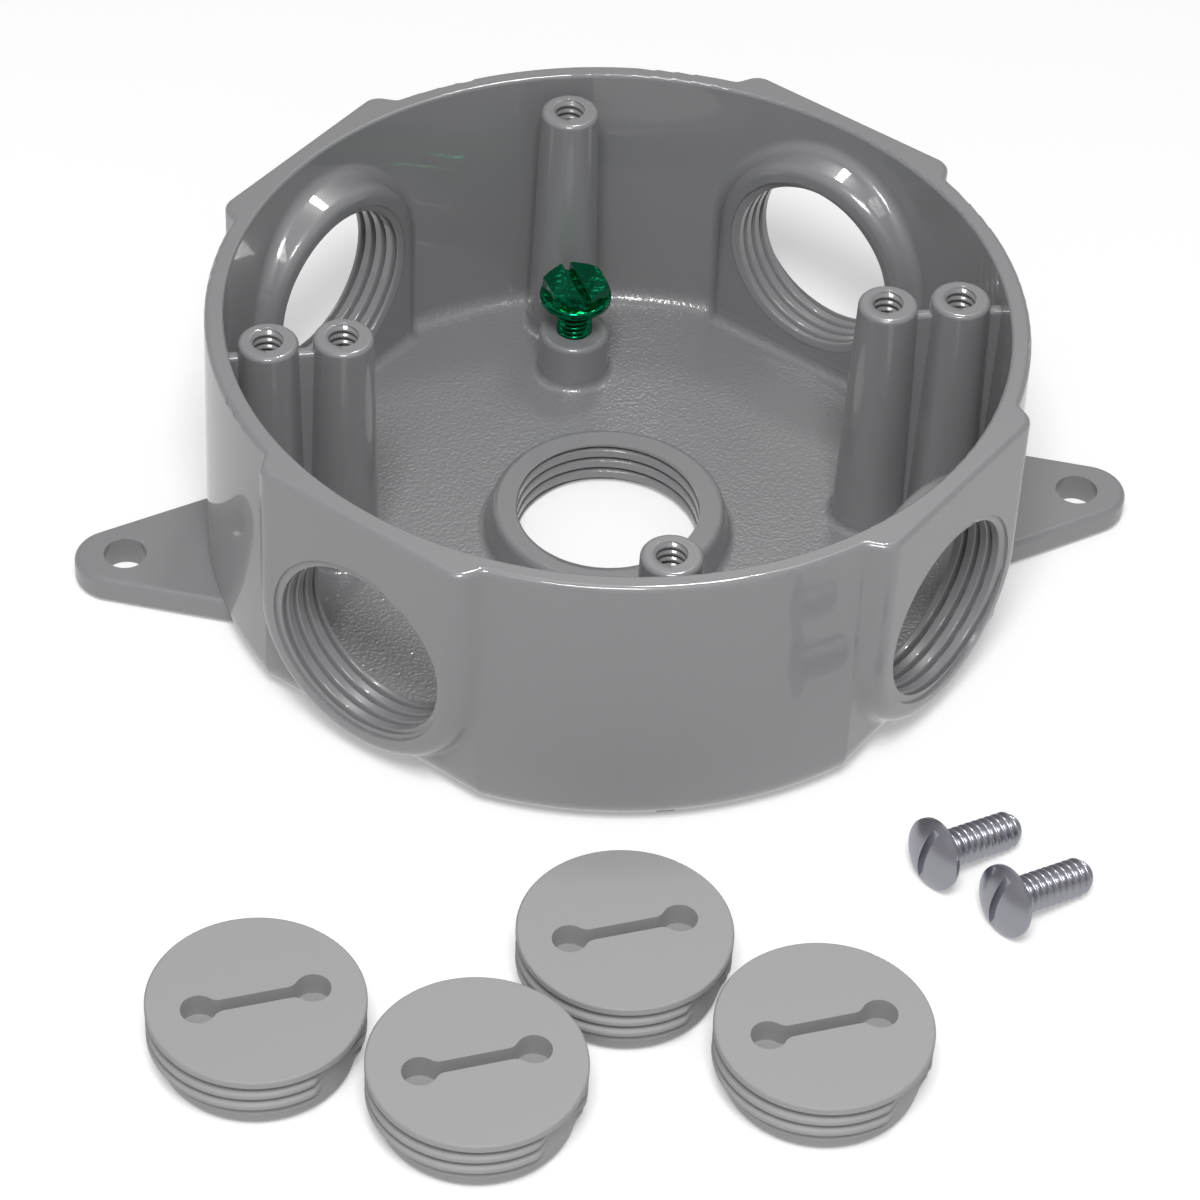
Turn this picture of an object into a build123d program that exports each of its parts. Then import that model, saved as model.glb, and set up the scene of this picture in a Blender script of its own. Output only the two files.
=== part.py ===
from build123d import *
import math
import os

os.makedirs("parts", exist_ok=True)

# Millimetres. The origin is the centre of the underside, +Z leaves by the open mouth,
# and +X runs along the line of the two mounting lugs.

# Round shell: a 4-1/8 in class box with a 40 mm rim
box_height = 40.0
rim_radius = 52.3
rim_wall = 2.47
outer_draft = 0.5
inner_draft = 1.0
floor_thickness = 2.4
floor_round = 2.0
foot_round = 5.0
rim_round_out = 0.7
rim_round_in = 0.4
root_round = 1.0

# Four side entries, tapped 3/4 in 14 to the inch; the cylinder is the root of the thread
entry_angles = (45, 135, 225, 315)
entry_height = 19.0
entry_radius = 13.1
entry_chamfer = 0.4
flat_offset = 49.8
pad_offset = 52.6
pad_half_width = 15.4
pad_side_draft = 26.0
pad_edge_round = 2.5
pad_root_round = 1.2
pad_root_start = 0.5
inner_face_offset = 45.0
inner_boss_radius = 15.4
inner_boss_draft = 13.0
inner_edge_round = 1.5
inner_root_round = 1.5

# Bottom entry in the middle of the floor
hub_height = 7.0
hub_radius = 15.3
hub_foot_radius = 16.3
hub_edge_round = 0.9

# Cover-screw posts on the two standard spacings, 3-1/2 in and 2-3/4 in, tapped #10-24;
# the hole is drawn at the root of its thread
outer_post_spacing = 88.9
inner_post_spacing = 69.85
outer_post_offset = outer_post_spacing / 2
inner_post_offset = inner_post_spacing / 2
post_height = 38.3
post_radius = 3.85
post_foot_radius = 4.78
post_edge_round = 0.6
post_hole_radius = 2.42
post_hole_depth = 16.0
post_hole_chamfer = 0.25
drill_angle = 59.0

# Ribs that tie the posts to each other and to the wall
rib_height = 36.5
rib_width = 1.65
rib_foot_width = 2.3
rib_edge_round = 0.6

# Ground boss and its screw, #10-32 by 3/8 in; shank and hole are drawn at the core of the thread
ground_offset = 33.5
ground_boss_radius = 4.8
ground_boss_height = 9.5
ground_boss_edge_round = 0.8
ground_hole_floor = 1.6
ground_screw_height = 15.0
ground_shank_radius = 1.90
ground_shank_clearance = 0.05
ground_shank_length = 9.5
flange_radius = 4.9
flange_thickness = 0.9
hex_width = 7.94
hex_height = 2.9
hex_corner_cut = 0.5
slot_width = 1.2
slot_depth = 1.5
ground_screw_turn = -78.0

# Mounting lugs on 5 in centres
lug_spacing = 127.0
lug_hole_offset = lug_spacing / 2
lug_hole_radius = 2.8
lug_tip_offset = 64.9
lug_tip_radius = 5.2
lug_side_angle = 20.4
lug_root_offset = 44.0
lug_thickness = 4.05
lug_bottom_round = 1.2
lug_top_round = 0.8

# Closure plugs for the entries: a slotted disc on a body drawn at the core of its thread
plug_radius = 12.95
plug_height = 9.0
plug_disc_thickness = 0.95
plug_core_radius = 11.9
plug_foot_radius = 11.5
plug_lead_height = 2.4
plug_foot_round = 1.6
plug_top_round = 0.25
plug_slot_depth = 3.2
plug_slot_width = 1.7
plug_lobe_radius = 2.15
plug_lobe_offset = 6.8
plug_slot_blend = 1.5
plug_turn = 8.0
plug_start_x = -53.5
plug_start_y = -83.6
plug_step = 27.2
plug_bearings = (-26.5, 43.0, -40.0)

# Cover screws, #10-24 by 1/2 in; the shank is drawn at the core of its thread
screw_core_radius = 1.85
screw_crest_radius = 2.40
screw_length = 12.7
screw_point_length = 1.1
screw_point_radius = 1.5
screw_head_radius = 4.57
screw_head_rim = 0.45
screw_head_height = 2.1
screw_slot_width = 1.1
screw_slot_depth = 1.1
screw_turn = 26.0
screw_start_x = 31.1
screw_start_y = -64.8
screw_step = 11.2
screw_bearings = (-50.8,)


def rounded(outline, corners, radius):
    for corner in corners:
        vertex = outline.vertices().sort_by_distance((corner[0], corner[1], 0))[0]
        outline = fillet(vertex, radius)
    return outline


def turned(outline):
    return revolve(Plane.XZ * outline, Axis.Z)


def around(solid, angles):
    return [Rot(0, 0, angle) * solid for angle in angles]


# What lies outside one flat below an entry pad, with the same rounded foot
def flat_cut():
    inside = flat_offset - 1.2 * foot_round
    outside = 1.5 * rim_radius
    corner = (flat_offset, 0)
    outline = make_face(
        Polyline(
            (inside, 0),
            (inside, -1),
            (outside, -1),
            (outside, box_height + 1),
            (flat_offset, box_height + 1),
            corner,
            close=True,
        )
    )
    outline = rounded(outline, [corner], foot_round)
    return extrude(Plane.XZ * outline, flat_offset / 2, both=True)


# The drafted shell with its rounded foot, cut by the four flats below the entry pads
def outer_shell():
    foot = (rim_radius + box_height * math.tan(math.radians(outer_draft)), 0)
    lip = (rim_radius, box_height)
    outline = make_face(Polyline((0, 0), foot, lip, (0, box_height), close=True))
    shell = turned(rounded(outline, [foot], foot_round))
    for cut in around(flat_cut(), entry_angles):
        shell -= cut
    return shell


# A U standing on its round end, or an arch when upright is -1
def arch_outline(half_width, upright):
    reach = 3 * box_height
    leg = Pos(0, upright * reach / 2) * Rectangle(2 * half_width, reach)
    return Circle(half_width) + leg


# One entry pad: a flat U face with a rounded edge, drafted back to the wall and flush with the rim
def entry_pad():
    face = Plane(origin=(pad_offset, 0, entry_height), x_dir=(0, -1, 0), z_dir=(-1, 0, 0))
    depth = pad_offset - inner_face_offset
    outline = face * arch_outline(pad_half_width, 1)
    pad = extrude(outline, depth, taper=-pad_side_draft)
    pad &= Pos(pad_offset, 0, box_height / 2) * Box(pad_offset, 2 * pad_offset, box_height)
    front = pad.faces().sort_by(Axis.X)[-1]
    return fillet([e for e in front.edges() if e.center().Z < box_height - 0.1], pad_edge_round)


# One inner boss: an arch standing on the floor, facing the middle of the box
def inner_boss():
    face = Plane(origin=(inner_face_offset, 0, entry_height), x_dir=(0, 1, 0), z_dir=(1, 0, 0))
    depth = pad_offset - inner_face_offset
    outline = face * arch_outline(inner_boss_radius, -1)
    boss = extrude(outline, depth, taper=-inner_boss_draft)
    front = boss.faces().sort_by(Axis.X)[0]
    foot = front.edges().sort_by(Axis.Z)[0]
    return fillet([e for e in front.edges() if e.center() != foot.center()], inner_edge_round)


# The room inside, with the inner bosses left standing in it and blended into wall and floor
def cavity():
    depth = box_height - floor_thickness
    mouth_radius = rim_radius - rim_wall
    floor_radius = mouth_radius - depth * math.tan(math.radians(inner_draft))
    above = 2 * box_height
    corner = (floor_radius, floor_thickness)
    lip = (mouth_radius, box_height)
    ledge = mouth_radius + 2 * rim_round_in
    outline = make_face(
        Polyline(
            (0, floor_thickness),
            corner,
            lip,
            (ledge, box_height),
            (ledge, above),
            (0, above),
            close=True,
        )
    )
    outline = rounded(outline, [corner], floor_round)
    outline = rounded(outline, [lip], rim_round_in)
    plain = turned(outline)
    bosses = around(inner_boss(), entry_angles)
    room = plain
    for boss in bosses:
        room -= boss
    return fillet(new_edges(plain, *bosses, combined=room), inner_root_round)


# A turned boss standing on the floor, with a rounded top edge and a filleted foot
def floor_boss(radius, foot_radius, height, edge_round):
    sink = floor_thickness / 4
    skirt = foot_radius + 1.2 * root_round
    foot = (foot_radius, floor_thickness)
    top = (radius, height)
    outline = make_face(
        Polyline(
            (0, floor_thickness - sink),
            (skirt, floor_thickness - sink),
            (skirt, floor_thickness),
            foot,
            top,
            (0, height),
            close=True,
        )
    )
    outline = rounded(outline, [foot], root_round)
    outline = rounded(outline, [top], edge_round)
    return turned(outline)


# A drafted rib with a rounded top, from one post centre into the wall along +X
def rib(start):
    foot = floor_thickness / 2
    half_top = rib_width / 2
    half_foot = rib_foot_width / 2
    left = (-half_top, rib_height)
    right = (half_top, rib_height)
    outline = make_face(Polyline((-half_foot, foot), (half_foot, foot), right, left, close=True))
    outline = rounded(outline, [left, right], rib_edge_round)
    reach = rim_radius - rim_wall / 2 - start
    return extrude(Plane(origin=(start, 0, 0), x_dir=(0, 1, 0), z_dir=(1, 0, 0)) * outline, reach)


# One mounting lug: a tapering tongue with a round tip and rounded edges
def lug():
    slope = math.radians(lug_side_angle)
    touch_x = lug_tip_offset + lug_tip_radius * math.sin(slope)
    touch_y = lug_tip_radius * math.cos(slope)
    root_y = touch_y + (touch_x - lug_root_offset) * math.tan(slope)
    tongue = make_face(
        Polyline(
            (lug_root_offset, -root_y),
            (touch_x, -touch_y),
            (touch_x, touch_y),
            (lug_root_offset, root_y),
            close=True,
        )
    )
    plate = extrude(tongue + Pos(lug_tip_offset, 0) * Circle(lug_tip_radius), lug_thickness)
    bottom = plate.faces().sort_by(Axis.Z)[0].edges()
    plate = fillet([e for e in bottom if e.center().X > lug_root_offset + 0.1], lug_bottom_round)
    top = plate.faces().sort_by(Axis.Z)[-1].edges()
    return fillet([e for e in top if e.center().X > lug_root_offset + 0.1], lug_top_round)


# The closed outside of the casting: the pads blended into the shell, the rim's edge rounded, the lugs
def outside():
    shell = outer_shell()
    pads = around(entry_pad(), entry_angles)
    body = shell
    for pad in pads:
        body += pad
    roots = new_edges(shell, *pads, combined=body)
    body = fillet([e for e in roots if pad_root_start < e.center().Z < box_height - 0.1], pad_root_round)
    rim = body.faces().sort_by(Axis.Z)[-1]
    body = fillet(rim.outer_wire().edges(), rim_round_out)
    for tongue in around(lug(), (0, 180)):
        body += tongue
    return body


# A chamfered entry bore along +X, opening outward at the pad face
def side_entry():
    length = 1.5 * (pad_offset - inner_face_offset)
    middle = Pos(pad_offset - length / 2 + 1, 0, entry_height)
    bore = middle * Rot(0, 90, 0) * Cylinder(entry_radius, length + 2)
    mouth = Pos(pad_offset, 0, entry_height) * Rot(0, 90, 0) * Cone(
        entry_radius - entry_chamfer, entry_radius + entry_chamfer, 2 * entry_chamfer
    )
    return bore + mouth


def bottom_entry():
    bore = Cylinder(entry_radius, 4 * hub_height)
    mouth = Cone(entry_radius + entry_chamfer, entry_radius - entry_chamfer, 2 * entry_chamfer)
    return bore + mouth


# A blind drilled hole from the given top down, with a countersunk lip and a drill point
def drilled_hole(radius, top, depth, chamfer):
    point = radius / math.tan(math.radians(drill_angle))
    outline = make_face(
        Polyline(
            (0, top + 1),
            (radius + chamfer, top + 1),
            (radius + chamfer, top),
            (radius, top - chamfer),
            (radius, top - depth),
            (0, top - depth - point),
            close=True,
        )
    )
    return turned(outline)


def box_body():
    body = outside() - cavity()
    body += floor_boss(hub_radius, hub_foot_radius, hub_height, hub_edge_round)
    post = floor_boss(post_radius, post_foot_radius, post_height, post_edge_round)
    for strip in around(rib(inner_post_offset), (0, 180)):
        body += strip
    for strip in around(rib(outer_post_offset), (90, 270)):
        body += strip
    outer_spots = around(Pos(outer_post_offset, 0, 0), (0, 90, 180, 270))
    inner_spots = around(Pos(inner_post_offset, 0, 0), (0, 180))
    for spot in outer_spots + inner_spots:
        body += spot * post
    ground_spot = Pos(0, ground_offset, 0)
    body += ground_spot * floor_boss(
        ground_boss_radius, ground_boss_radius, ground_boss_height, ground_boss_edge_round
    )
    for bore in around(side_entry(), entry_angles):
        body -= bore
    body -= bottom_entry()
    hole = drilled_hole(post_hole_radius, post_height, post_hole_depth, post_hole_chamfer)
    for spot in outer_spots + inner_spots:
        body -= spot * hole
    ground_hole_radius = ground_shank_radius + ground_shank_clearance
    ground_depth = ground_boss_height - ground_hole_floor
    body -= ground_spot * Pos(0, 0, ground_boss_height - ground_depth / 2 + 1) * Cylinder(
        ground_hole_radius, ground_depth + 2
    )
    for side in (1, -1):
        body -= Pos(side * lug_hole_offset, 0, 0) * Cylinder(lug_hole_radius, 4 * lug_thickness)
    return body


def ground_screw():
    shank = Cylinder(ground_shank_radius, ground_shank_length, align=(Align.CENTER, Align.CENTER, Align.MAX))
    flange = Cylinder(flange_radius, flange_thickness, align=(Align.CENTER, Align.CENTER, Align.MIN))
    flange = fillet(flange.edges().sort_by(Axis.Z)[-1], flange_thickness / 2)
    corner_radius = hex_width / math.sqrt(3)
    head = extrude(RegularPolygon(corner_radius, 6), hex_height)
    cut_height = hex_corner_cut * math.tan(math.radians(30))
    top = (corner_radius - hex_corner_cut, hex_height)
    side = (corner_radius + hex_corner_cut, hex_height - 2 * cut_height)
    cone = turned(make_face(Polyline((0, 0), (side[0], 0), side, top, (0, hex_height), close=True)))
    head = head & cone
    slot = Pos(0, 0, hex_height) * Box(3 * hex_width, slot_width, 2 * slot_depth)
    screw = shank + flange + (head - slot)
    return Pos(0, ground_offset, ground_screw_height) * Rot(0, 0, ground_screw_turn) * screw


def closure_plug():
    foot = (plug_foot_radius, 0)
    top = (plug_radius, plug_height)
    neck_height = plug_height - plug_disc_thickness
    outline = make_face(
        Polyline(
            (0, 0),
            foot,
            (plug_core_radius, plug_lead_height),
            (plug_core_radius, neck_height),
            (plug_radius, neck_height),
            top,
            (0, plug_height),
            close=True,
        )
    )
    outline = rounded(outline, [foot], plug_foot_round)
    outline = rounded(outline, [top], plug_top_round)
    slot = Rectangle(2 * plug_lobe_offset, plug_slot_width)
    for side in (1, -1):
        slot += Pos(side * plug_lobe_offset, 0) * Circle(plug_lobe_radius)
    necks = [v for v in slot.vertices() if abs(abs(v.Y) - plug_slot_width / 2) < 0.01]
    slot = fillet(necks, plug_slot_blend)
    cut = extrude(Pos(0, 0, plug_height - plug_slot_depth) * slot, 2 * plug_slot_depth)
    return Rot(0, 0, plug_turn) * (turned(outline) - cut)


# A slotted round-head screw, laid on the table along +X with the underside of its head at the origin;
# it rests on the rim of the head and on the last crest of its thread
def cover_screw():
    point = (screw_point_radius, 0)
    dome_rise = screw_head_height - screw_head_rim
    dome_radius = (screw_head_radius**2 + dome_rise**2) / (2 * dome_rise)
    rim = (screw_head_radius, screw_length + screw_head_rim)
    crown = (0, screw_length + screw_head_height)
    side = Polyline(
        crown,
        (0, 0),
        point,
        (screw_core_radius, screw_point_length),
        (screw_core_radius, screw_length),
        (screw_head_radius, screw_length),
        rim,
    )
    dome = RadiusArc(rim, crown, -dome_radius)
    screw = turned(make_face(side + dome))
    top = screw_length + screw_head_height
    slot = Pos(0, 0, top) * Box(3 * screw_head_radius, screw_slot_width, 2 * screw_slot_depth)
    screw = screw - slot
    lean = math.degrees(
        math.atan((screw_head_radius - screw_crest_radius) / (screw_length - screw_point_length))
    )
    laid = Rot(0, lean - 90, 0) * Pos(0, 0, -screw_length) * screw
    return Pos(0, 0, -laid.bounding_box().min.Z) * laid


# A chain of places on the table, each one step from the last on its own bearing
def chain(start_x, start_y, step, bearings):
    places = [(start_x, start_y)]
    for bearing in bearings:
        x = places[-1][0] + step * math.cos(math.radians(bearing))
        y = places[-1][1] + step * math.sin(math.radians(bearing))
        places.append((x, y))
    return places


export_step(box_body(), "parts/box_body.step")
export_step(ground_screw(), "parts/ground_screw.step")
plug = closure_plug()
plug_places = chain(plug_start_x, plug_start_y, plug_step, plug_bearings)
for number, place in enumerate(plug_places, start=1):
    export_step(Pos(place[0], place[1], 0) * plug, f"parts/closure_plug_{number}.step")
screw = cover_screw()
screw_places = chain(screw_start_x, screw_start_y, screw_step, screw_bearings)
for number, place in enumerate(screw_places, start=1):
    laid = Pos(place[0], place[1], 0) * Rot(0, 0, screw_turn) * screw
    export_step(laid, f"parts/cover_screw_{number}.step")
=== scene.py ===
import math
import bpy
import numpy as np
from mathutils import Matrix, Vector


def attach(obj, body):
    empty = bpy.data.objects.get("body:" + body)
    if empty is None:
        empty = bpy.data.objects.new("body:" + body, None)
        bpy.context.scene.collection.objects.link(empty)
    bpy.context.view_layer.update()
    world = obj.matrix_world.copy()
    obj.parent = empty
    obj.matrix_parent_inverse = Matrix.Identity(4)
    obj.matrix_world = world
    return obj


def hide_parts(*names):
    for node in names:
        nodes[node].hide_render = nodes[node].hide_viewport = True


# The round weatherproof box with its loose plugs and screws, in metres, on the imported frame
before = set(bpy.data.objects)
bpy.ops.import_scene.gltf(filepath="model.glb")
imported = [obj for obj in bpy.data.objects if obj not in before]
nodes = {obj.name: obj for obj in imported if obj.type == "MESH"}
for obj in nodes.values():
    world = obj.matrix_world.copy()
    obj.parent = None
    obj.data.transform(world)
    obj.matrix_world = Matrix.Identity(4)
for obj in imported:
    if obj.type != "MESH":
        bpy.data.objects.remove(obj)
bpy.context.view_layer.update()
mm = 0.001


# Colours are written as sRGB hex and turned to linear here
def linearColour(hexColour):
    parts = [int(hexColour[i:i + 2], 16) / 255 for i in (1, 3, 5)]
    return [c / 12.92 if c <= 0.04045 else ((c + 0.055) / 1.055) ** 2.4 for c in parts] + [1.0]


# Adds one node with its settings, plain values and links
def addNode(tree, kind, values=None, sources=None, **settings):
    node = tree.nodes.new(kind)
    for key, value in settings.items():
        setattr(node, key, value)
    for socket, value in (values or {}).items():
        node.inputs[socket].default_value = value
    for socket, source in (sources or {}).items():
        tree.links.new(source, node.inputs[socket])
    return node


def newMaterial(name):
    material = bpy.data.materials.new(name)
    material.use_nodes = True
    material.node_tree.nodes.clear()
    return material, material.node_tree


# Die-cast aluminium under one coat of glossy grey paint: a clear mirror-like skin over the colour, a
# faint orange peel all over and a coarser cast grain on the floor inside, up to grainTop and grainRadius
castPaint = {
    "colour": "#8a8a8c",
    "roughness": 0.40,
    "gloss": 0.9,
    "glossRoughness": 0.05,
    "peelSize": 2.2,
    "peelDepth": 0.006,
    "grainSize": 0.5,
    "grainDepth": 0.085,
    "grainTop": 4.2,
    "grainTopBlend": 0.6,
    "grainRadius": 49.0,
    "grainRadiusBlend": 0.8,
}


def makeCastPaint(values):
    material, tree = newMaterial("glossy grey paint on die-cast aluminium")
    here = addNode(tree, "ShaderNodeTexCoord").outputs["Object"]
    parts = addNode(tree, "ShaderNodeSeparateXYZ", sources={0: here})
    flat = addNode(tree, "ShaderNodeCombineXYZ", sources={0: parts.outputs[0], 1: parts.outputs[1]})
    reach = addNode(tree, "ShaderNodeVectorMath", operation="LENGTH", sources={0: flat.outputs[0]})
    edges = ((values["grainTop"], values["grainTopBlend"], parts.outputs[2]),
             (values["grainRadius"], values["grainRadiusBlend"], reach.outputs["Value"]))
    low, inside = [addNode(tree, "ShaderNodeMapRange", {1: edge * mm, 2: (edge + blend) * mm, 3: 1.0, 4: 0.0},
                           {0: measure}).outputs[0] for edge, blend, measure in edges]
    onFloor = addNode(tree, "ShaderNodeMath", sources={0: low, 1: inside}, operation="MULTIPLY")
    peel = addNode(tree, "ShaderNodeTexNoise", {"Scale": 1 / (values["peelSize"] * mm), "Detail": 1.0},
                   {"Vector": here})
    grain = addNode(tree, "ShaderNodeTexNoise", {"Scale": 1 / (values["grainSize"] * mm), "Detail": 1.0},
                    {"Vector": here})
    peelHeight = addNode(tree, "ShaderNodeMath", {1: values["peelDepth"] * mm}, {0: peel.outputs[0]},
                         operation="MULTIPLY")
    grainDepth = addNode(tree, "ShaderNodeMath", {1: values["grainDepth"] * mm}, {0: onFloor.outputs[0]},
                         operation="MULTIPLY")
    height = addNode(tree, "ShaderNodeMath", operation="MULTIPLY_ADD",
                     sources={0: grain.outputs[0], 1: grainDepth.outputs[0], 2: peelHeight.outputs[0]})
    bump = addNode(tree, "ShaderNodeBump", {"Strength": 1.0, "Distance": 1.0}, {"Height": height.outputs[0]})
    surface = addNode(tree, "ShaderNodeBsdfPrincipled", {"Base Color": linearColour(values["colour"]),
                      "Roughness": values["roughness"], "Coat Weight": values["gloss"],
                      "Coat Roughness": values["glossRoughness"]},
                      {"Normal": bump.outputs[0], "Coat Normal": bump.outputs[0]})
    addNode(tree, "ShaderNodeOutputMaterial", sources={0: surface.outputs[0]})
    return material


# Matte grey paint on the small castings: even, dull, no sparkle
plugPaint = {"colour": "#a1a1a1", "roughness": 0.55}
# Green plating on the steel ground screw: deep colour, mirror-like, with the waves of cold-headed steel
greenPlating = {"colour": "#0f875b", "roughness": 0.14, "metallic": 1.0, "waveSize": 1.2, "waveDepth": 0.14}
# Bright zinc on the steel cover screws: bluish, softly shining
zincPlating = {"colour": "#aeaeb6", "roughness": 0.30, "metallic": 1.0}


def makePlain(name, values):
    material, tree = newMaterial(name)
    normal = {}
    if "waveDepth" in values:
        here = addNode(tree, "ShaderNodeTexCoord").outputs["Object"]
        wave = addNode(tree, "ShaderNodeTexNoise", {"Scale": 1 / (values["waveSize"] * mm), "Detail": 1.0},
                       {"Vector": here})
        height = addNode(tree, "ShaderNodeMath", {1: values["waveDepth"] * mm}, {0: wave.outputs[0]},
                         operation="MULTIPLY")
        bump = addNode(tree, "ShaderNodeBump", {"Strength": 1.0, "Distance": 1.0},
                       {"Height": height.outputs[0]})
        normal = {"Normal": bump.outputs[0]}
    surface = addNode(tree, "ShaderNodeBsdfPrincipled", {"Base Color": linearColour(values["colour"]),
                      "Roughness": values["roughness"], "Metallic": values.get("metallic", 0.0)}, normal)
    addNode(tree, "ShaderNodeOutputMaterial", sources={0: surface.outputs[0]})
    return material


castGrey = makeCastPaint(castPaint)
plugGrey = makePlain("matte grey paint on die-cast aluminium", plugPaint)
green = makePlain("green plated steel", greenPlating)
zinc = makePlain("bright zinc plated steel", zincPlating)
print("materials made")


# Puts a grid of points [row, column, xyz] into a closed ring; rows and columns both join round
def meshFromGrid(name, points, material):
    rows, columns = points.shape[:2]
    row, column = np.meshgrid(np.arange(rows), np.arange(columns), indexing="ij")
    nextRow = (row + 1) % rows
    nextColumn = (column + 1) % columns
    quads = np.stack([row * columns + column, row * columns + nextColumn,
                      nextRow * columns + nextColumn, nextRow * columns + column], -1).reshape(-1, 4)
    mesh = bpy.data.meshes.new(name)
    mesh.from_pydata(points.reshape(-1, 3), [], quads.tolist())
    mesh.update()
    mesh.polygons.foreach_set("use_smooth", np.ones(len(mesh.polygons), bool))
    mesh.materials.append(material)
    piece = bpy.data.objects.new(name, mesh)
    bpy.context.scene.collection.objects.link(piece)
    return piece


# Three axes with the last along the given direction
def axesAlong(direction):
    along = np.array(direction, float)
    along /= np.linalg.norm(along)
    side = np.cross([0, 0, 1], along) if abs(along[2]) < 0.9 else np.array([1.0, 0, 0])
    side = side / np.linalg.norm(side)
    return side, np.cross(along, side), along


# A ramp from 0 to 1 over the fade, or 1 everywhere without one
def ramp(distance, fade):
    return np.clip(distance / fade, 0, 1)[:, None] if fade else np.ones((len(distance), 1))


# Height of a thread ridge, 0 at the root and 1 at the crest, for a phase in turns: a narrow root and
# straight flanks, blended over the given share of their height into a flat crest
def ridge(phase, crestWidth, blend=0.15):
    rise = (1 - 2 * np.abs(phase % 1.0 - 0.5)) / (1 - crestWidth)
    over = np.clip(rise - (1 - blend), 0, 2 * blend)
    return np.minimum(rise, 1 + blend) - over * over / (4 * blend)


# Points on round rows: centre + axis * z + (cos, sin) * radius, with radius[row, column] and z[row]
def roundRows(centre, direction, radius, heights):
    side, up, along = axesAlong(direction)
    angle = np.arange(radius.shape[1]) * 2 * np.pi / radius.shape[1]
    ring = np.cos(angle)[:, None] * side + np.sin(angle)[:, None] * up
    return np.array(centre) + radius[:, :, None] * ring[None] + heights[:, None, None] * along


# A thread as a ring along a direction: radius = root + (crest - root) * ridge(z / pitch - turn), faded
# at both ends and over any flats, and closed by a plain side sunk into the CAD surface beneath it.
# The crest lies inside the root for a tapped bore and outside it for a shank; a lip fills a countersink
def threadRing(name, centre, direction, length, thread, body):
    columns, rows = thread["columns"], int(length / thread["pitch"] * thread["perPitch"])
    heights = np.linspace(0, length, rows)
    turn = np.arange(columns) / columns
    phase = heights[:, None] / thread["pitch"] - turn[None]
    height = ridge(phase, thread["crestWidth"])
    height = height * ramp(heights, thread["fadeStart"]) * ramp(length - heights, thread["fadeEnd"])
    for middle in thread.get("flats", ()):
        away = np.abs((turn - middle / 360 + 0.5) % 1 - 0.5) * 360
        height *= np.clip((away - thread["flatWidth"]) / thread["flatBlend"], 0, 1)[None]
    outward = thread["crest"] > thread["root"]
    threaded = thread["root"] + (thread["crest"] - thread["root"]) * height
    sunk, lip = thread["sunk"], thread.get("lip", thread["sunk"])
    closing = thread["root"] + np.array([lip, sunk, sunk]) * (-1 if outward else 1)
    radius = np.vstack([threaded, np.repeat(closing[:, None], columns, 1)]) * mm
    z = np.concatenate([heights, [length, length - lip, 0]]) * mm
    piece = meshFromGrid(name, roundRows(centre, direction, radius, z), thread["material"])
    if not outward:
        piece.data.flip_normals()
    piece.data.set_sharp_from_angle(angle=math.radians(thread["sharp"]))
    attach(piece, body)
    return piece


# A CAD piece shown with its own surface normals, in its finish
def dressed(nodeName, name, material, body):
    mesh = nodes[nodeName].data.copy()
    mesh.materials.clear()
    mesh.materials.append(material)
    mesh.polygons.foreach_set("material_index", np.zeros(len(mesh.polygons), np.int32))
    piece = bpy.data.objects.new(name, mesh)
    bpy.context.scene.collection.objects.link(piece)
    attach(piece, body)
    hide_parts(nodeName)
    return piece


# The round on the rim's outer edge shades as the exact torus it is: normal = (r - ring, z - level) / round,
# where the mesh's own normal is near it already
rimRound = {"ring": 51.6, "level": 39.3, "round": 0.7, "margin": 0.012, "nearness": 0.7}


def smoothRimRound(mesh, values):
    corners = np.zeros(len(mesh.vertices) * 3, np.float32)
    mesh.vertices.foreach_get("co", corners)
    loopVertex = np.zeros(len(mesh.loops), np.int32)
    mesh.loops.foreach_get("vertex_index", loopVertex)
    normals = np.zeros(len(mesh.loops) * 3, np.float32)
    mesh.corner_normals.foreach_get("vector", normals)
    normals = normals.reshape(-1, 3)
    x, y, z = (corners.reshape(-1, 3)[loopVertex] / mm).T
    r = np.hypot(x, y)
    out, up = r - values["ring"], z - values["level"]
    away = np.abs(np.hypot(out, up) - values["round"])
    onRound = (away < values["margin"]) & (out > -values["margin"]) & (up > -values["margin"])
    exact = np.stack([x / r * out, y / r * out, up], 1) / values["round"]
    # A face lies on the round when all three of its corners do
    face = onRound.reshape(-1, 3).all(1).repeat(3)
    face &= (normals * exact).sum(1) > values["nearness"]
    normals[face] = exact[face] / np.linalg.norm(exact[face], axis=1)[:, None]
    mesh.normals_split_custom_set(normals.tolist())


# The hole in the ground boss opens from the core of its thread, where CAD draws it, to the root
groundHole = {"y": 33.5, "core": 1.95, "root": 2.43, "margin": 0.02, "bottom": 1.5, "top": 9.6}


def openGroundHole(mesh, values):
    corners = np.zeros(len(mesh.vertices) * 3, np.float32)
    mesh.vertices.foreach_get("co", corners)
    corners = corners.reshape(-1, 3) / mm
    across = corners[:, :2] - (0, values["y"])
    reach = np.hypot(across[:, 0], across[:, 1])
    wall = (np.abs(reach - values["core"]) < values["margin"]) & (corners[:, 2] > values["bottom"])
    wall &= corners[:, 2] < values["top"]
    corners[wall, :2] = across[wall] * (values["root"] / reach[wall, None]) + (0, values["y"])
    mesh.vertices.foreach_set("co", (corners * mm).ravel())
    mesh.update()


boxCasting = dressed("box_body", "boxCasting", castGrey, "box")
openGroundHole(boxCasting.data, groundHole)
smoothRimRound(boxCasting.data, rimRound)
print("box casting dressed")

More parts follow.
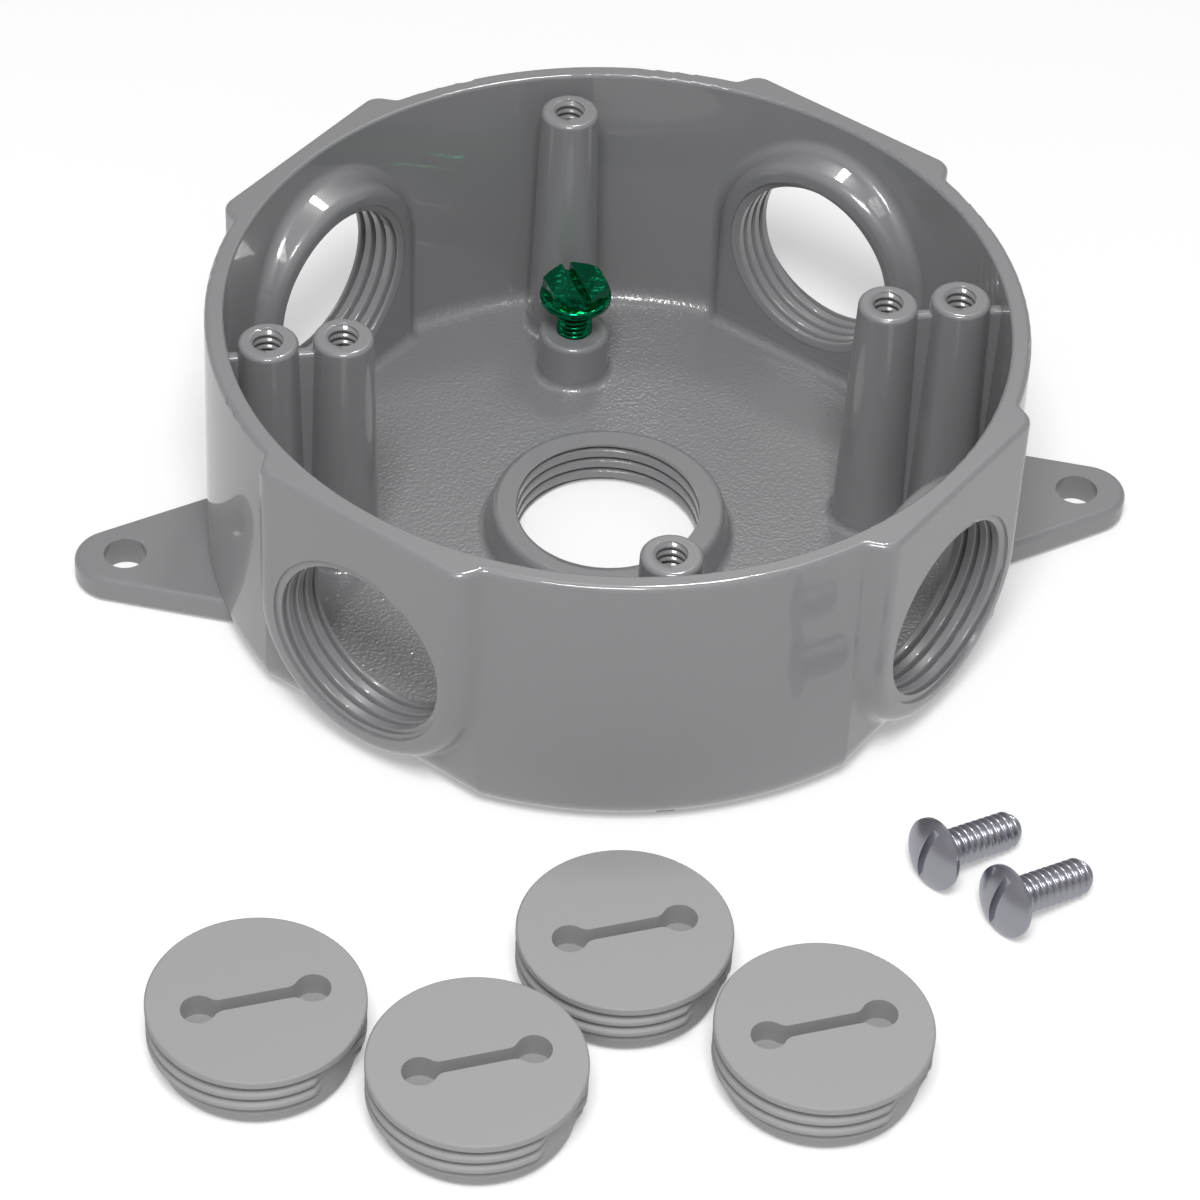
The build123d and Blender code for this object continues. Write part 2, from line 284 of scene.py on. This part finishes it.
# Entries, tapped 14 threads to the inch
entryThread = {"root": 13.1, "crest": 12.05, "pitch": 25.4 / 14, "crestWidth": 0.58, "fadeStart": 0.3,
               "fadeEnd": 0, "sunk": 0.08, "sharp": 60, "columns": 192, "perPitch": 20,
               "material": castGrey, "slot": "cast_body"}
entry = {"innerFace": 45.0, "length": 7.25, "height": 19.0, "angles": (45, 135, 225, 315),
         "floorStart": 0.35, "floorLength": 6.64}
for number, angle in enumerate(entry["angles"], start=1):
    direction = (math.cos(math.radians(angle)), math.sin(math.radians(angle)), 0)
    centre = (direction[0] * entry["innerFace"] * mm, direction[1] * entry["innerFace"] * mm,
              entry["height"] * mm)
    threadRing(f"entryThread{number}", centre, direction, entry["length"], entryThread, "box")
threadRing("bottomEntryThread", (0, 0, entry["floorStart"] * mm), (0, 0, 1), entry["floorLength"],
           entryThread, "box")

# Post holes, #10 with 24 threads to the inch
postThread = {"root": 2.42, "crest": 1.90, "pitch": 25.4 / 24, "crestWidth": 0.22, "fadeStart": 0.4,
              "fadeEnd": 0, "sunk": 0.05, "lip": 0.28, "sharp": 60, "columns": 48, "perPitch": 16,
              "material": castGrey, "slot": "cast_body"}
posts = {"outer": 44.45, "inner": 34.925, "top": 38.28, "length": 12.0}
postPlaces = [(x, 0) for x in (-posts["outer"], -posts["inner"], posts["inner"], posts["outer"])]
postPlaces += [(0, -posts["outer"]), (0, posts["outer"])]
for number, (x, y) in enumerate(postPlaces, start=1):
    centre = (x * mm, y * mm, (posts["top"] - posts["length"]) * mm)
    threadRing(f"postThread{number}", centre, (0, 0, 1), posts["length"], postThread, "box")
print("tapped holes made")

# Ground screw and its thread, #10 with 32 threads to the inch, pointing down into its boss
groundThread = {"root": 1.93, "crest": 2.40, "pitch": 25.4 / 32, "crestWidth": 0.25, "fadeStart": 0.5,
                "fadeEnd": 0.25, "sunk": 0.1, "sharp": 60, "columns": 64, "perPitch": 16,
                "material": green, "slot": "green_steel"}
groundPlace = {"y": 33.5, "tip": 5.6, "length": 9.4}
dressed("ground_screw", "groundScrewHead", green, "ground_screw")
threadRing("groundScrewThread", (0, groundPlace["y"] * mm, groundPlace["tip"] * mm), (0, 0, 1),
           groundPlace["length"], groundThread, "ground_screw")

# Closure plugs, 14 threads to the inch, with the moulded flats where the halves of the die met. They
# leave no dark images in the gloss of the box
plugThread = {"root": 11.93, "crest": 12.9, "pitch": 25.4 / 14, "crestWidth": 0.3, "fadeStart": 1.6,
              "fadeEnd": 0.45, "sunk": 0.2, "sharp": 60, "columns": 192, "perPitch": 20,
              "flats": (-42, 138), "flatWidth": 12, "flatBlend": 10,
              "material": plugGrey, "slot": "plug_casting"}
plugCore = {"start": 2.3, "length": 5.45}


# The middle of a piece, seen from above
def middleOf(node):
    corners = np.array([node.matrix_world @ Vector(corner) for corner in node.bound_box])
    return (corners.min(0) + corners.max(0))[:2] / 2


for number in range(1, 5):
    plug = dressed(f"closure_plug_{number}", f"closurePlug{number}", plugGrey, "box")
    plug.visible_glossy = False
    x, y = middleOf(nodes[f"closure_plug_{number}"])
    threadRing(f"closurePlugThread{number}", (x, y, plugCore["start"] * mm), (0, 0, 1), plugCore["length"],
               plugThread, "box").visible_glossy = False

# Cover screws, #10 with 24 threads to the inch, lying on the rim of the head and the last crest
screwThread = {"root": 1.86, "crest": 2.40, "pitch": 25.4 / 24, "crestWidth": 0.18, "fadeStart": 0.25,
               "fadeEnd": 0.9, "sunk": 0.3, "sharp": 60, "columns": 64, "perPitch": 16,
               "material": zinc, "slot": "zinc_steel"}
screwLie = {"headRadius": 4.57, "lastCrest": 11.6, "threadLength": 12.3, "bearing": 26.0,
            "places": ((31.1, -64.8), (38.18, -73.48))}
lean = math.atan((screwLie["headRadius"] - screwThread["crest"]) / screwLie["lastCrest"])
bearing = math.radians(screwLie["bearing"])
toTip = (math.cos(lean) * math.cos(bearing), math.cos(lean) * math.sin(bearing), -math.sin(lean))
for number, (x, y) in enumerate(screwLie["places"], start=1):
    dressed(f"cover_screw_{number}", f"coverScrew{number}", zinc, "box")
    start = (x * mm, y * mm, screwLie["headRadius"] * math.cos(lean) * mm)
    threadRing(f"coverScrewThread{number}", start, toTip, screwLie["threadLength"], screwThread, "box")
print("loose pieces dressed")

# Floor: white, with a little light of its own towards the camera, so that it reads as a white ground and
# still takes the shadows; the gloss paint mirrors it as even white
floorLook = {"size": 6.0, "colour": "#f2f2f2", "glow": 0.26, "mirrored": 0.75}


def makeFloor(values):
    material, tree = newMaterial("white paper ground")
    path = addNode(tree, "ShaderNodeLightPath")
    glow = addNode(tree, "ShaderNodeMath", {1: values["glow"]}, {0: path.outputs["Is Camera Ray"]},
                   operation="MULTIPLY")
    light = addNode(tree, "ShaderNodeEmission", {"Color": (1, 1, 1, 1)}, {"Strength": glow.outputs[0]})
    paper = addNode(tree, "ShaderNodeBsdfDiffuse", {"Color": linearColour(values["colour"])})
    both = addNode(tree, "ShaderNodeAddShader", sources={0: paper.outputs[0], 1: light.outputs[0]})
    even = addNode(tree, "ShaderNodeEmission", {"Color": (1, 1, 1, 1), "Strength": values["mirrored"]})
    look = addNode(tree, "ShaderNodeMixShader",
                   sources={0: path.outputs["Is Glossy Ray"], 1: both.outputs[0], 2: even.outputs[0]})
    addNode(tree, "ShaderNodeOutputMaterial", sources={0: look.outputs[0]})
    half = values["size"] / 2
    mesh = bpy.data.meshes.new("ground")
    corners = [(-half, -half, 0), (half, -half, 0), (half, half, 0), (-half, half, 0)]
    mesh.from_pydata(corners, [], [(0, 1, 2, 3)])
    mesh.materials.append(material)
    ground = bpy.data.objects.new("ground", mesh)
    bpy.context.scene.collection.objects.link(ground)


makeFloor(floorLook)

# Studio: an even white room, one soft key lamp, and a small lamp behind that is seen only in the gloss
room = {"colour": "#ffffff", "strength": 0.40}
lamps = {
    "key": {"place": (-0.09, -0.43, 0.76), "target": (0, 0, 0), "size": 0.25, "power": 4.6, "diffuse": True},
    "backGlint": {"place": (0.14, 0.34, 0.78), "target": (0, 0, 0.01), "size": 0.10, "power": 3.6,
                  "diffuse": False},
}


def makeRoom(values):
    world = bpy.data.worlds.new("white room")
    bpy.context.scene.world = world
    world.use_nodes = True
    tree = world.node_tree
    tree.nodes.clear()
    path = addNode(tree, "ShaderNodeLightPath")
    plain = addNode(tree, "ShaderNodeBackground",
                    {"Color": linearColour(values["colour"]), "Strength": values["strength"]})
    white = addNode(tree, "ShaderNodeBackground", {"Color": (1, 1, 1, 1), "Strength": 1.0})
    mix = addNode(tree, "ShaderNodeMixShader",
                  sources={0: path.outputs["Is Camera Ray"], 1: plain.outputs[0], 2: white.outputs[0]})
    addNode(tree, "ShaderNodeOutputWorld", sources={0: mix.outputs[0]})


def makeLamp(name, values):
    light = bpy.data.lights.new(name, "AREA")
    light.size = values["size"]
    light.energy = values["power"]
    lamp = bpy.data.objects.new(name, light)
    bpy.context.scene.collection.objects.link(lamp)
    lamp.location = values["place"]
    aim = Vector(values["target"]) - Vector(values["place"])
    lamp.rotation_euler = aim.to_track_quat("-Z", "Y").to_euler()
    lamp.visible_diffuse = values["diffuse"]


makeRoom(room)
for lampName, lampValues in lamps.items():
    makeLamp(lampName, lampValues)

# Camera: where the photograph was taken from, worked out from the posts, the rim and the lugs
cameraView = {"elevation": 42.773, "azimuth": -10.18, "roll": 2.98, "distance": 580.66,
              "aimRight": -0.814, "aimUp": -6.689, "aimHeight": -1.05, "lens": 131.13, "nearest": 0.01}


def makeCamera(values):
    elevation, azimuth = math.radians(values["elevation"]), math.radians(values["azimuth"])
    roll = math.radians(values["roll"])
    back = np.array([math.sin(azimuth) * math.cos(elevation), -math.cos(azimuth) * math.cos(elevation),
                     math.sin(elevation)])
    level = np.array([math.cos(azimuth), math.sin(azimuth), 0.0])
    upright = np.cross(back, level)
    right = math.cos(roll) * level + math.sin(roll) * upright
    up = -math.sin(roll) * level + math.cos(roll) * upright
    place = back * values["distance"] + right * values["aimRight"] + up * values["aimUp"]
    place[2] += values["aimHeight"]
    lens = bpy.data.cameras.new("camera")
    lens.lens = values["lens"]
    lens.clip_start = values["nearest"]
    camera = bpy.data.objects.new("camera", lens)
    bpy.context.scene.collection.objects.link(camera)
    turn = Matrix(np.column_stack([right, up, back]).tolist()).to_4x4()
    camera.matrix_world = Matrix.Translation(Vector(place * mm)) @ turn
    bpy.context.scene.camera = camera


makeCamera(cameraView)
bpy.context.scene.view_settings.view_transform = "Standard"
print("ground, lamps and camera set")
